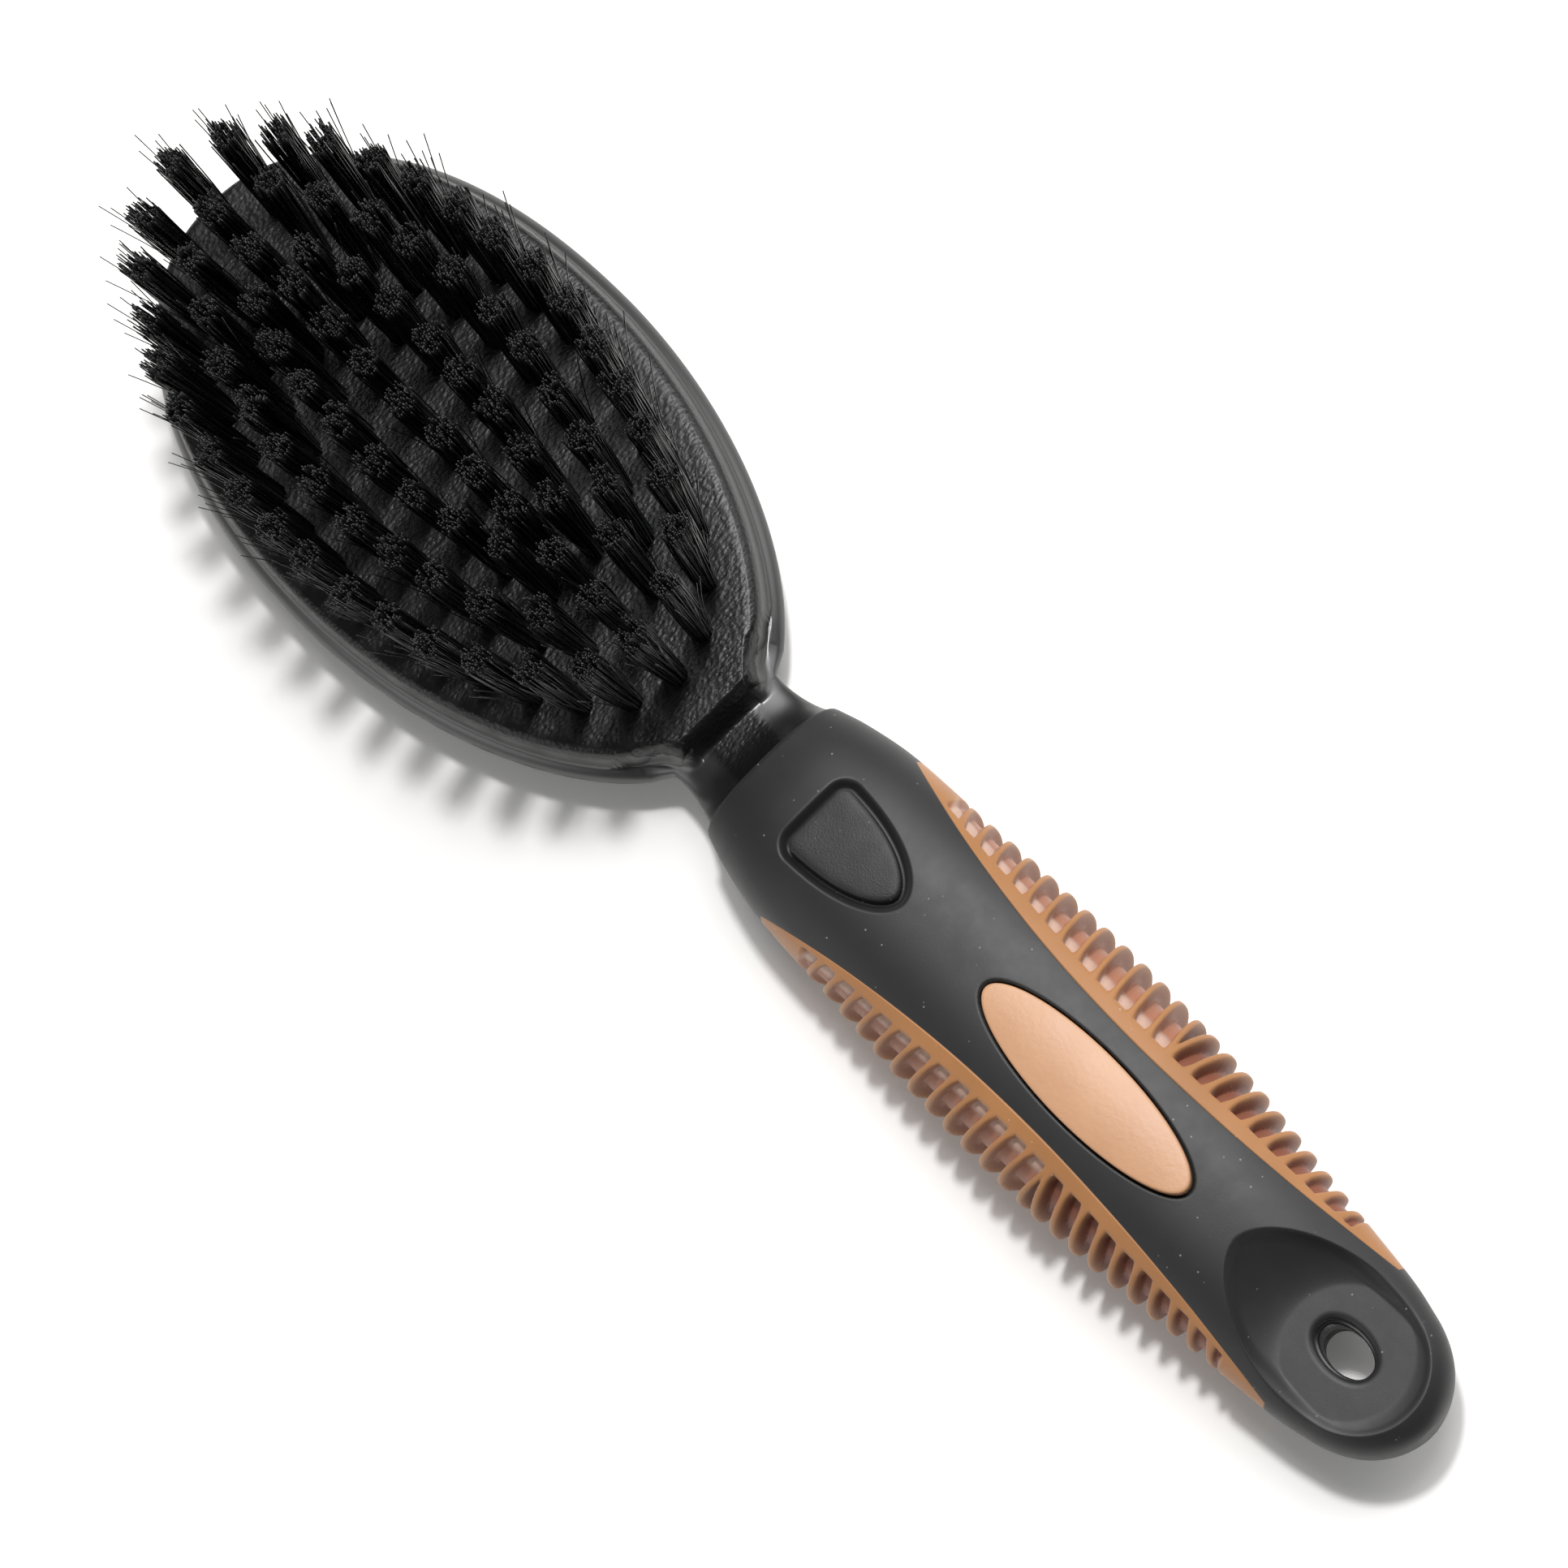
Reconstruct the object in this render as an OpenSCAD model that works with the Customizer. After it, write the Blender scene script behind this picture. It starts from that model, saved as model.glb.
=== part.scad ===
// Oval-head bristle brush with a soft two-colour handle.
// It lies on its back: +Z comes out of the bristle face, +X points to the tail, +Y is the left side.
// The origin is under the middle of the brush, on the surface it lies on.

/* [Overall] */
// Length from the nose of the head to the tail of the handle
length = 230; // [220:1:240]
// Width across the head
head_w = 59.6; // [57:0.2:62]
// Facets around a round part
$fn = 32; // [24:8:64]

/* [Head] */
// Length of the head's nose side, from its widest place
nose_l = 50; // [48:1:52]
// Length of the head's neck side, from its widest place
neck_side_l = 55; // [53:1:56]
// Height of the joint between the back cover and the head block
joint_z = 6.2; // [5.8:0.1:6.4]
// Height of the flange's top
flange_z = 10.3; // [9.8:0.1:10.6]
// Height of the bristle platform
platform_z = 13.6; // [13.2:0.1:14]
// Distance from the flange's edge to the platform
platform_inset = 3; // [2.6:0.1:3.4]
// Half width of the platform's tongue at the neck
tongue_half_w = 6.4; // [6:0.1:7]
// Wall of the back cover
cover_wall = 2; // [1.6:0.1:2.4]

/* [Tufts] */
// Length of a tuft above the platform
tuft_l = 25; // [20:0.5:27]
// Radius of a tuft where it leaves the platform
tuft_r = 1.5; // [1.3:0.05:1.6]
// Radius of a tuft at its tip
tuft_tip_r = 2; // [1.6:0.05:2.2]
// Radius of a tuft hole
tuft_hole_r = 1.6; // [1.6:0.05:1.8]
// Depth of a tuft hole
tuft_hole_depth = 6; // [5:0.5:6.5]
// Outward lean of the outer ring of tufts, in degrees
tuft_lean = 4.2; // [0:0.2:5]
// Length of the flat wire anchor at a tuft's root
anchor_l = 2.9; // [2.6:0.1:3]
// Thickness of the wire anchor
anchor_t = 0.4; // [0.3:0.05:0.5]
// Height of the wire anchor
anchor_h = 1.6; // [1.4:0.1:1.8]

/* [Handle] */
// Half width of the black strip at its narrowest
strip_half_w = 8.1; // [7.8:0.1:8.5]
// Depth of the side recess that holds a grip
recess_depth = 3.4; // [3:0.1:3.6]
// Height of the grip fins above the grip's floor
fin_height = 2.3; // [2:0.1:2.5]
// Thickness of a fin
fin_t = 1.5; // [1.2:0.1:1.8]
// Width of the plain band along the edges of a grip
band_w = 1.9; // [1.6:0.1:2.2]
// Length of the oval inlay
inlay_l = 36; // [34:0.5:37]
// Width of the oval inlay
inlay_w = 9.9; // [9:0.1:10.4]
// Length of the thumb panel
panel_l = 15.6; // [14.8:0.2:16]
// Width of the thumb panel
panel_w = 10.6; // [9.8:0.2:11]
// Width of the groove around the thumb panel
groove_w = 1.6; // [1.2:0.1:1.8]
// Length of the hanging hole
eye_l = 8; // [7:0.2:8.4]
// Width of the hanging hole
eye_w = 5; // [4.4:0.2:5.4]

/* [Hidden] */

black = [0.09, 0.09, 0.095];
soft_black = [0.16, 0.16, 0.165];
panel_grey = [0.25, 0.25, 0.27];
terracotta = [0.74, 0.47, 0.32];
salmon = [0.85, 0.62, 0.47];
nylon = [0.05, 0.05, 0.055];
steel = [0.6, 0.6, 0.62];

head_x = -length / 2 + nose_l;
collar_x = -length / 2 + 111.5;
handle_l = length / 2 - collar_x;
roundness = 2.4;
head_steps = 72;
head_nose_p = 2.2;
head_neck_p = 1.9;
fine_step = 0.1;
// Taller than the brush, for cuts that go right through it.
through = 30;

// Handle profiles: distance along the handle as a share of its length, then the size there.
handle_half_w = [
    [0, 11.3], [0.04, 12.7], [0.1, 14], [0.2, 14.7], [0.3, 15.5], [0.45, 16],
    [0.6, 15.4], [0.7, 14.2], [0.8, 12.8], [0.88, 11.7], [0.94, 10.2], [1, 9.6]
];
handle_top = [
    [0, 17.4], [0.06, 19.5], [0.13, 20.6], [0.3, 20.7], [0.5, 20.3], [0.7, 18.9], [0.85, 16.6], [1, 14.4]
];
handle_bottom = [[0, 3], [0.06, 1.4], [0.13, 0.5], [0.28, 0.1], [0.55, 0.1], [0.7, 0.9], [0.85, 3], [1, 5]];
strip_edge = [
    [0.1, 14], [0.24, 10.7], [0.375, strip_half_w + 0.6], [0.5, strip_half_w],
    [0.62, strip_half_w + 0.4], [0.73, 9.5], [0.81, 10.6], [0.88, 11.7]
];
tail_round = 9.5;
tail_share = 0.92;
tail_blunt = 0.96;
least_side = 0.25;
grip_start = 0.115;
grip_end = 0.862;

// Fins: going down the side, the head group leans to the head and the tail group to the tail.
head_fins = 13;
head_fin_x = [19.1, 58.9];
tail_fins = 10;
tail_fin_x = [61.6, 90.1];
head_fin_slant = -2.3;
tail_fin_slant = 1.2;

// Neck and core: place, half width, top and bottom.
neck = [
    [-28, 8.6, 9.6, 6.6], [-18, 9.2, 10.2, 6.5], [-14, 9.5, 10.4, 6.3], [-10, 9.5, 10.9, 5.6],
    [-6.5, 10.1, 13.4, 4.3], [collar_x, 11, 17, 3.2]
];
core = [
    [collar_x, 8.5, 14.4, 6], [10, 9, 15, 5.5], [50, 9.5, 15, 5],
    [88, 8, 13, 6.6], [106, 6.8, 11.8, 7.6], [109.5, 4, 11, 8.4]
];
core_steps = 24;
core_points = 20;
core_lead = 2;

eye_x = 101;
eye_gap = 0.4;
eye_mouth = 0.8;
eye_mouth_depth = 0.7;
scoop_start = 83;
scoop_floor = 13.2;
scoop_slope = 12;
scoop_disc = [103.4, 8.8];
scoop_steps = 20;
inlay_x = 57;
inlay_gap = 0.3;
panel_x = 7.4;
panel_nose = 11;
panel_corner = 2;
pocket_z = 18.4;
pocket_h = 9;
tongue_x = -13.6;
tongue_l = 15;
tongue_flare = 9;
tongue_steps = 10;

// Tuft rings: half length, half width, number of tufts, share of the full lean.
outer_ring = [43.3, 21.3, 32, 1];
second_ring = [35.8, 14.2, 24, 0.7];
third_ring = [28.3, 7.1, 18, 0.35];
tuft_centre_x = -64;
centre_row_tufts = 7;
centre_row_pitch = 7;

// Smooth curve through a list of [place, value] stations.
function segment(pts, t, i = 0) = i + 2 >= len(pts) || t < pts[i + 1][0] ? i : segment(pts, t, i + 1);
function slope(pts, i) =
    let (a = max(i - 1, 0), b = min(i + 1, len(pts) - 1))
    (pts[b][1] - pts[a][1]) / (pts[b][0] - pts[a][0]);
function curve(pts, t) =
    let (
        i = segment(pts, t),
        h = pts[i + 1][0] - pts[i][0],
        u = (t - pts[i][0]) / h,
        v = 1 - u
    )
    v * v * (1 + 2 * u) * pts[i][1] + u * u * (3 - 2 * u) * pts[i + 1][1]
    + u * v * h * (v * slope(pts, i) - u * slope(pts, i + 1));
function column(rows, i) = [for (r = rows) [r[0], r[i]]];

// A point of a rounded-box curve at an angle, and the angle at which the curve passes a given y.
function power(v, p) = sign(v) * pow(abs(v), p);
function oval(a, w, h, p = roundness) = [w * power(cos(a), 2 / p), h * power(sin(a), 2 / p)];
function angle_at(y, w, p = roundness) = acos(pow(min(1, abs(y) / w), p / 2));

// Handle sizes at a share of its length. The tail is rounded in plan, and less in side view.
function at_x(t) = collar_x + t * handle_l;
function tail_end(t) =
    let (u = max(0, (at_x(t) - length / 2 + tail_round) / tail_round))
    sqrt(1 - pow(tail_blunt * u, 2));
function half_w(t) = curve(handle_half_w, t) * tail_end(t);
function mid_z(t) = (curve(handle_top, t) + curve(handle_bottom, t)) / 2;
function half_h(t) = (curve(handle_top, t) - curve(handle_bottom, t)) / 2 * sqrt(tail_end(t));
function side_room(t) = max(least_side, half_w(t) - curve(strip_edge, t));
function strip(t) = half_w(t) - side_room(t);
function recess(t) = min(recess_depth, 0.8 * side_room(t));
function rise(t) = min(fin_height, 0.35 * side_room(t));
function band(t) = min(band_w, 0.35 * side_room(t));

// Arc of a handle section, sunk by a depth, from the angle of one y on top to the same y below.
function side_arc(t, sink, y, steps) =
    let (w = half_w(t) - sink, h = half_h(t) - sink, a = angle_at(y, w))
    [for (i = [0:steps]) oval(a - 2 * a * i / steps, w, h)];
function top_arc(t, y, steps) =
    let (a = angle_at(y, half_w(t)))
    [for (i = [0:steps]) oval(180 - a - (180 - 2 * a) * i / steps, half_w(t), half_h(t))];
function backward(pts) = [for (i = [len(pts) - 1:-1:0]) pts[i]];
function mirror_y(pts) = [for (i = [len(pts) - 1:-1:0]) [-pts[i][0], pts[i][1]]];
function mirror_z(pts) = [for (i = [len(pts) - 1:-1:0]) [pts[i][0], -pts[i][1]]];
function place(t, pts) = [for (p = pts) [at_x(t), p[0], p[1] + mid_z(t)]];

function sleeve_ring(t) =
    let (y = strip(t), top = top_arc(t, y, 8), side = side_arc(t, recess(t), y, 8))
    place(t, concat(top, side, mirror_z(top), mirror_y(side)));
function grip_ring(t) =
    let (y = strip(t), outer = y + band(t), thick = recess(t) - 0.05, edge = side_arc(t, 0, y, 1))
    place(t, concat(
        [edge[0]], [oval(angle_at(outer, half_w(t)), half_w(t), half_h(t))],
        side_arc(t, rise(t), outer, 8),
        [oval(-angle_at(outer, half_w(t)), half_w(t), half_h(t))], [edge[1]],
        backward(side_arc(t, thick, y, 12))
    ));

// Skin over a list of closed rings with an even count of points. Each end is a strip across its ring.
module loft(rings) {
    n = len(rings[0]);
    m = len(rings);
    walls = [
        for (i = [0:m - 2], j = [0:n - 1])
            let (k = (j + 1) % n)
            each [[i * n + j, i * n + k, (i + 1) * n + k], [i * n + j, (i + 1) * n + k, (i + 1) * n + j]]
    ];
    last = (m - 1) * n;
    ends = [
        for (a = [0:n / 2 - 2])
            let (b = a + 1, c = n - 2 - a, d = n - 1 - a)
            each [[c, b, a], [d, c, a], [last + a, last + b, last + c], [last + a, last + c, last + d]]
    ];
    polyhedron([for (r = rings) each r], concat(walls, ends), convexity = 6);
}

// Outline of the head, drawn in by an inset.
function head_outline(inset) = [
    for (i = [0:head_steps - 1])
        let (a = 360 * i / head_steps, nose = cos(a) < 0)
        let (p = nose ? head_nose_p : head_neck_p, l = nose ? nose_l : neck_side_l)
        let (q = oval(a, l - inset, head_w / 2 - inset, p))
        [head_x + q[0], q[1]]
];
function head_ring(z, inset) = [for (p = head_outline(inset)) [p[0], p[1], z]];

// Stack of head outlines: each level is [height, inset], from the top down.
module head_stack(levels) {
    loft([for (l = levels) head_ring(l[0], l[1])]);
}

// Outline of the platform: the head's outline with a tongue that flows into the neck.
module platform_plan(inset) {
    extra = inset - platform_inset;
    edge = [
        for (i = [0:tongue_steps])
            let (u = i / tongue_steps)
            [tongue_x - extra - tongue_l * u, tongue_half_w - extra + tongue_flare * pow(u, 2.2)]
    ];
    polygon(head_outline(inset));
    polygon(concat(edge, [for (i = [tongue_steps:-1:0]) [edge[i][0], -edge[i][1]]]));
}

// Centre, and outward direction, of each tuft of a ring at equal steps around its oval.
function arc_step(r, a) = norm([r[0] * sin(a + 0.5), r[1] * cos(a + 0.5)]) * PI / 180;
function arc_table(r) = [for (a = 0, s = 0; a <= 360; s = s + arc_step(r, a), a = a + 1) [s, a]];
function ring_angles(r) =
    let (table = arc_table(r), total = table[360][0])
    [for (i = [0:r[2] - 1]) lookup(total * i / r[2], table)];
function ring_tufts(r) = [
    for (a = ring_angles(r))
        [tuft_centre_x + r[0] * cos(a), r[1] * sin(a), atan2(sin(a) / r[1], cos(a) / r[0]), r[3] * tuft_lean]
];
centre_tufts = [
    for (i = [0:centre_row_tufts - 1])
        [tuft_centre_x + (i - (centre_row_tufts - 1) / 2) * centre_row_pitch, 0, 0, 0]
];
all_tufts = concat(ring_tufts(outer_ring), ring_tufts(second_ring), ring_tufts(third_ring), centre_tufts);
function part_of(pts, from, to) = [for (i = [from:to]) pts[i]];

module tuft_root() {
    translate([0, 0, -tuft_hole_depth + 0.1]) difference() {
        cylinder(h = tuft_hole_depth - 0.3, r = tuft_r);
        translate([0, 0, anchor_h / 2 - 0.1])
            cube([2 * tuft_r + 1, anchor_t + 0.04, anchor_h + 0.3], center = true);
    }
}

module tufts(list) {
    color(nylon)
        for (t = list)
            translate([t[0], t[1], platform_z]) {
                tuft_root();
                rotate([0, 0, t[2]]) rotate([0, t[3], 0])
                    translate([0, 0, -0.4]) cylinder(h = tuft_l + 0.4, r1 = tuft_r - 0.03, r2 = tuft_tip_r);
            }
}

module anchors(list) {
    color(steel)
        for (t = list)
            translate([t[0], t[1], platform_z - tuft_hole_depth + 0.02 + anchor_h / 2])
                cube([anchor_l, anchor_t, anchor_h], center = true);
}

module core_loft(rows, lead = 0) {
    loft([
        for (i = [0:core_steps])
            let (a = rows[0][0], b = rows[len(rows) - 1][0], x = a + (b - a) * i / core_steps)
            let (w = curve(column(rows, 1), x))
            let (top = curve(column(rows, 2), x), low = curve(column(rows, 3), x))
            [
                for (k = [0:core_points - 1])
                    let (q = oval(-360 * k / core_points, w, (top - low) / 2))
                    [x - (i == 0 ? lead : 0), q[0], (top + low) / 2 + q[1]]
            ]
    ]);
}

// Long hole with round ends, cut straight down.
module eye(grow, low, high) {
    r = eye_w / 2 + grow;
    run = eye_l - eye_w;
    translate([eye_x, 0, low]) {
        for (s = [-1, 1])
            translate([s * run / 2, 0, 0]) cylinder(h = high - low, r = r);
        translate([-run / 2, -r, 0]) cube([run, 2 * r, high - low]);
    }
}

module head_block() {
    color(black) {
        head_stack([
            [flange_z, platform_inset], [flange_z - 0.2, 1.2], [flange_z - 0.7, 0.4], [flange_z - 1.6, 0],
            [joint_z + 0.7, 0], [joint_z, 0.4]
        ]);
        difference() {
            union() {
                translate([0, 0, joint_z + 0.4])
                    linear_extrude(platform_z - joint_z - 0.9)
                        platform_plan(platform_inset);
                translate([0, 0, platform_z - 1])
                    linear_extrude(1)
                        platform_plan(platform_inset + 0.5);
            }
            for (t = all_tufts)
                translate([t[0], t[1], platform_z - tuft_hole_depth])
                    cylinder(h = tuft_hole_depth + 1, r = tuft_hole_r);
        }
        core_loft(neck);
        difference() {
            core_loft(core, fine_step);
            eye(0, 0, through);
        }
    }
}

module back_cover() {
    color(black) difference() {
        head_stack([[joint_z, 1], [5, 1.3], [3.6, 2.4], [2.2, 4.4], [1.1, 7], [0.4, 9.6], [0, 13]]);
        head_stack([
            [joint_z + 1, 1 + cover_wall], [5, 1.6 + cover_wall], [3.8, 3 + cover_wall],
            [2.8, 5.4 + cover_wall], [cover_wall, 10 + cover_wall]
        ]);
    }
}

function scoop_half_w(x) =
    let (c = scoop_disc[0], r = scoop_disc[1], u = (x - scoop_start) / (c - scoop_start))
    x < c ? r * pow(max(0.0004, 1 - pow(1 - u, 2.4)), 0.6) : sqrt(max(0.001, r * r - pow(x - c, 2)));
function scoop_z(x) =
    let (start = curve(handle_top, (scoop_start - collar_x) / handle_l))
    let (u = min(1, (x - scoop_start) / scoop_slope))
    start + (scoop_floor - start) * u * (2 - u);

// Sloping cut in the tail that flattens into a round seat around the hole.
module scoop() {
    reach = scoop_disc[0] + scoop_disc[1] - scoop_start;
    loft([
        for (i = [0:scoop_steps])
            let (x = scoop_start + reach * (1 - cos(180 * i / scoop_steps)) / 2)
            let (w = scoop_half_w(x), z = scoop_z(x))
            [[x, -w, z], [x, -w, through], [x, w, through], [x, w, z]]
    ]);
}

// Shield outline: straight toward the head, round toward the tail.
function shield(grow) =
    let (b = panel_w / 2 + grow, l = panel_l + 2 * grow, nose = panel_nose + grow, x = panel_x - grow)
    let (r = panel_corner)
    concat(
        [for (i = [0:11]) let (q = oval(-90 + 180 * i / 11, nose, b, 2.1)) [x + l - nose + q[0], q[1]]],
        [for (i = [0:3]) [x + r - r * sin(30 * i), b - r + r * cos(30 * i)]],
        [for (i = [3:-1:0]) [x + r - r * sin(30 * i), -b + r - r * cos(30 * i)]]
    );
function inlay_oval(grow) = [
    for (i = [0:39])
        let (q = oval(9 * i, inlay_l / 2 + grow, inlay_w / 2 + grow, 2))
        [inlay_x + q[0], q[1]]
];

module handle_sleeve() {
    steps = 35;
    color(soft_black) difference() {
        loft([
            for (i = [0:steps])
                let (u = i / steps, end = sin(450 * max(0, u - 0.8)))
                sleeve_ring(u < 0.8 ? u / 0.8 * tail_share : tail_share + (1 - tail_share) * end)
        ]);
        core_loft(core, core_lead);
        translate([0, 0, pocket_z]) linear_extrude(pocket_h) polygon(shield(groove_w));
        translate([0, 0, pocket_z]) linear_extrude(pocket_h) polygon(inlay_oval(inlay_gap));
        scoop();
        eye(eye_gap, -1, through);
        eye(eye_mouth, scoop_floor - eye_mouth_depth, through);
    }
}

// One slice of a fin, square to the grip's surface at an angle around the handle.
module fin_slice(t, angle, shift) {
    deep = rise(t) + 0.6;
    q = oval(angle, half_w(t) - deep / 2 - 0.05, half_h(t) - deep / 2 - 0.05);
    tilt = atan2(q[1] / half_h(t), q[0] / half_w(t));
    translate([at_x(t) + shift, q[0], q[1] + mid_z(t)])
        rotate([tilt, 0, 0])
            cube([fin_t, deep, fine_step], center = true);
}

// A fin wraps the side of the grip. Its middle lies nearer the tail than its ends by the slant.
module fin(x, slant, from) {
    slices = 6;
    t = (x - collar_x) / handle_l;
    reach = angle_at(strip(t) + band(t) * 0.6, half_w(t));
    for (i = [0:slices - 1])
        hull()
            for (k = [i, i + 1]) {
                u = from + (1 - 2 * from) * k / slices;
                fin_slice(t, reach * (1 - 2 * u), -slant * (1 - sin(180 * u)));
            }
}

module grip(side) {
    steps = 24;
    stop = asin(1 - (tail_fin_x[0] - head_fin_x[1]) / (tail_fin_slant - head_fin_slant)) / 180;
    color(terracotta) mirror([0, side < 0 ? 1 : 0, 0]) {
        loft([for (i = [0:steps]) grip_ring(grip_start + (grip_end - grip_start) * i / steps)]);
        for (i = [0:head_fins - 1])
            let (x = head_fin_x[0] + (head_fin_x[1] - head_fin_x[0]) * i / (head_fins - 1))
            fin(x, head_fin_slant, i == head_fins - 1 ? stop : 0);
        for (i = [0:tail_fins - 1])
            let (x = tail_fin_x[0] + (tail_fin_x[1] - tail_fin_x[0]) * i / (tail_fins - 1))
            fin(x, tail_fin_slant, 0);
    }
}

module grip_left() {
    grip(1);
}

module grip_right() {
    grip(-1);
}

module thumb_panel() {
    color(panel_grey)
        loft([
            for (l = [[20.8, -1.2], [20.6, -0.3], [20.2, 0], [pocket_z, 0]])
                [for (p = shield(l[1])) [p[0], p[1], l[0]]]
        ]);
}

module oval_inlay() {
    color(salmon)
        loft([
            for (l = [[20.9, -2], [20.7, -0.9], [20.4, -0.25], [20, 0], [pocket_z, 0]])
                [for (p = inlay_oval(l[1])) [p[0], p[1], l[0]]]
        ]);
}

head_block();
back_cover();
handle_sleeve();
grip_left();
grip_right();
thumb_panel();
oval_inlay();
tufts(part_of(ring_tufts(outer_ring), 0, 7));  // tufts_outer_neck_left
tufts(part_of(ring_tufts(outer_ring), 8, 15));  // tufts_outer_nose_left
tufts(part_of(ring_tufts(outer_ring), 16, 23));  // tufts_outer_nose_right
tufts(part_of(ring_tufts(outer_ring), 24, 31));  // tufts_outer_neck_right
tufts(part_of(ring_tufts(second_ring), 0, 5));  // tufts_second_neck_left
tufts(part_of(ring_tufts(second_ring), 6, 11));  // tufts_second_nose_left
tufts(part_of(ring_tufts(second_ring), 12, 17));  // tufts_second_nose_right
tufts(part_of(ring_tufts(second_ring), 18, 23));  // tufts_second_neck_right
tufts(part_of(ring_tufts(third_ring), 0, 8));  // tufts_third_left
tufts(part_of(ring_tufts(third_ring), 9, 17));  // tufts_third_right
tufts(centre_tufts);  // tufts_centre
anchors(ring_tufts(outer_ring));  // anchors_outer
anchors(ring_tufts(second_ring));  // anchors_second
anchors(ring_tufts(third_ring));  // anchors_third
anchors(centre_tufts);  // anchors_centre
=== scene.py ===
import math
import random

import bpy
import numpy as np
from mathutils import Matrix, Vector


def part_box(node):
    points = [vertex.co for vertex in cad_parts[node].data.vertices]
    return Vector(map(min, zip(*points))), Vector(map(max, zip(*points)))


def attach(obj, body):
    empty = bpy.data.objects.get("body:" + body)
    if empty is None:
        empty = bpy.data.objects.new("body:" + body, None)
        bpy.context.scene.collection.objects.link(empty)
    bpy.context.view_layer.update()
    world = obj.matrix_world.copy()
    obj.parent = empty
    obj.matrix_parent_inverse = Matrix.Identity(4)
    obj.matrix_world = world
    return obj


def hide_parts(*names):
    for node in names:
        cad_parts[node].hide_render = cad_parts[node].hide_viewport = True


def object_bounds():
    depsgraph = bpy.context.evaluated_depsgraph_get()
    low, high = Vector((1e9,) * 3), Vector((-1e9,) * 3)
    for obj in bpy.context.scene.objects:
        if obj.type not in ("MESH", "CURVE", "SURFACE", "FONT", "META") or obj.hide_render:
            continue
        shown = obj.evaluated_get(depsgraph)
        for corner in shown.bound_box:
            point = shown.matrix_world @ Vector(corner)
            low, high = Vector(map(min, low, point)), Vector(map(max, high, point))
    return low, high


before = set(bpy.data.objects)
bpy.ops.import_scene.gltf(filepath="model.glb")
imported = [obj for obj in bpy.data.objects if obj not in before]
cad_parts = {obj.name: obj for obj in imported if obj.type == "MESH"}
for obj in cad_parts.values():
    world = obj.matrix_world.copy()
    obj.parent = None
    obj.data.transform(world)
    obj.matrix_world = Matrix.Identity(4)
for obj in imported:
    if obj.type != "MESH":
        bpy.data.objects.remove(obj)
cad_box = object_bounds()

# Lengths below are in millimetres of the CAD frame; every mesh is written in metres.
MM = 0.001
SEED = 11


def box_mm(node):
    return [np.array(corner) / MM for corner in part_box(node)]


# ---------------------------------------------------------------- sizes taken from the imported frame
head_low, head_high = box_mm("head_block")
sleeve_low, sleeve_high = box_mm("handle_sleeve")
panel_low, panel_high = box_mm("thumb_panel")
inlay_low, inlay_high = box_mm("oval_inlay")
cover_low, cover_high = box_mm("back_cover")
GRIP_X = [box_mm("grip_left")[0][0], box_mm("grip_left")[1][0]]
TAIL_X = sleeve_high[0]
COLLAR_X = sleeve_low[0]
HANDLE_L = TAIL_X - COLLAR_X
HEAD_W = head_high[1]
NOSE_X = head_low[0]
NOSE_L = 50.0
HEAD_X = NOSE_X + NOSE_L
NECK_SIDE_L = 55.0
JOINT_Z = 6.2
FLANGE_Z = 10.3
PLATFORM_Z = 13.6
ROUNDNESS = 2.4

HANDLE_HALF_W = [(0, 11.3), (0.04, 12.7), (0.1, 14), (0.2, 14.7), (0.3, 15.5), (0.45, 16),
                 (0.6, 15.4), (0.7, 14.2), (0.8, 12.8), (0.88, 11.7), (0.94, 10.2), (1, 9.6)]
HANDLE_TOP = [(0, 17.4), (0.06, 19.5), (0.13, 20.6), (0.3, 20.7), (0.5, 20.3), (0.7, 18.9), (0.85, 16.6), (1, 14.4)]
HANDLE_BOTTOM = [(0, 3), (0.06, 1.4), (0.13, 0.5), (0.28, 0.1), (0.55, 0.1), (0.7, 0.9), (0.85, 3), (1, 5)]
STRIP_EDGE = [(0.1, 14), (0.24, 10.7), (0.375, 8.7), (0.5, 8.1), (0.62, 8.5), (0.73, 9.5), (0.81, 10.6), (0.88, 11.7)]
NECK_HALF_W = [(-28, 8.6), (-18, 8.9), (-14, 9.1), (-11.5, 8.95), (-9, 9.25), (-6.5, 9.9), (-3.5, 11)]
NECK_TOP = [(-28, 9.6), (-14, 10.2), (-11, 10.2), (-8, 10.7), (-5.8, 12.0), (-3.5, 14.8)]
NECK_BOTTOM = [(-28, 6.6), (-18, 6.5), (-14, 6.3), (-10, 5.6), (-6.5, 4.3), (-3.5, 3.2)]
TAIL_ROUND = 9.5
RECESS = 3.4
FIN_RISE = 2.3
BAND_W = 2.2
FIN_T = 1.5
HEAD_FINS, HEAD_FIN_X, HEAD_SLANT = 13, (19.1, 58.9), -2.3
TAIL_FINS, TAIL_FIN_X, TAIL_SLANT = 10, (61.6, 90.1), 1.2
EYE_X, EYE_L, EYE_W = 101.0, 8.0, 5.0
SEAT_Z = 13.2


# ---------------------------------------------------------------- curves and outlines
def smooth(t):
    t = np.clip(t, 0, 1)
    return t * t * (3 - 2 * t)


def curve(stations, t):
    """Smooth curve through (place, value) stations, as the CAD draws it."""
    x, v = np.array(stations, float).T
    t = np.asarray(t, float)
    i = np.clip(np.searchsorted(x, t, side="right") - 1, 0, len(x) - 2)
    low = np.maximum(np.arange(len(x)) - 1, 0)
    high = np.minimum(np.arange(len(x)) + 1, len(x) - 1)
    m = (v[high] - v[low]) / (x[high] - x[low])
    h = x[i + 1] - x[i]
    u = (t - x[i]) / h
    w = 1 - u
    return w * w * (1 + 2 * u) * v[i] + u * u * (3 - 2 * u) * v[i + 1] + u * w * h * (w * m[i] - u * m[i + 1])


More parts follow.
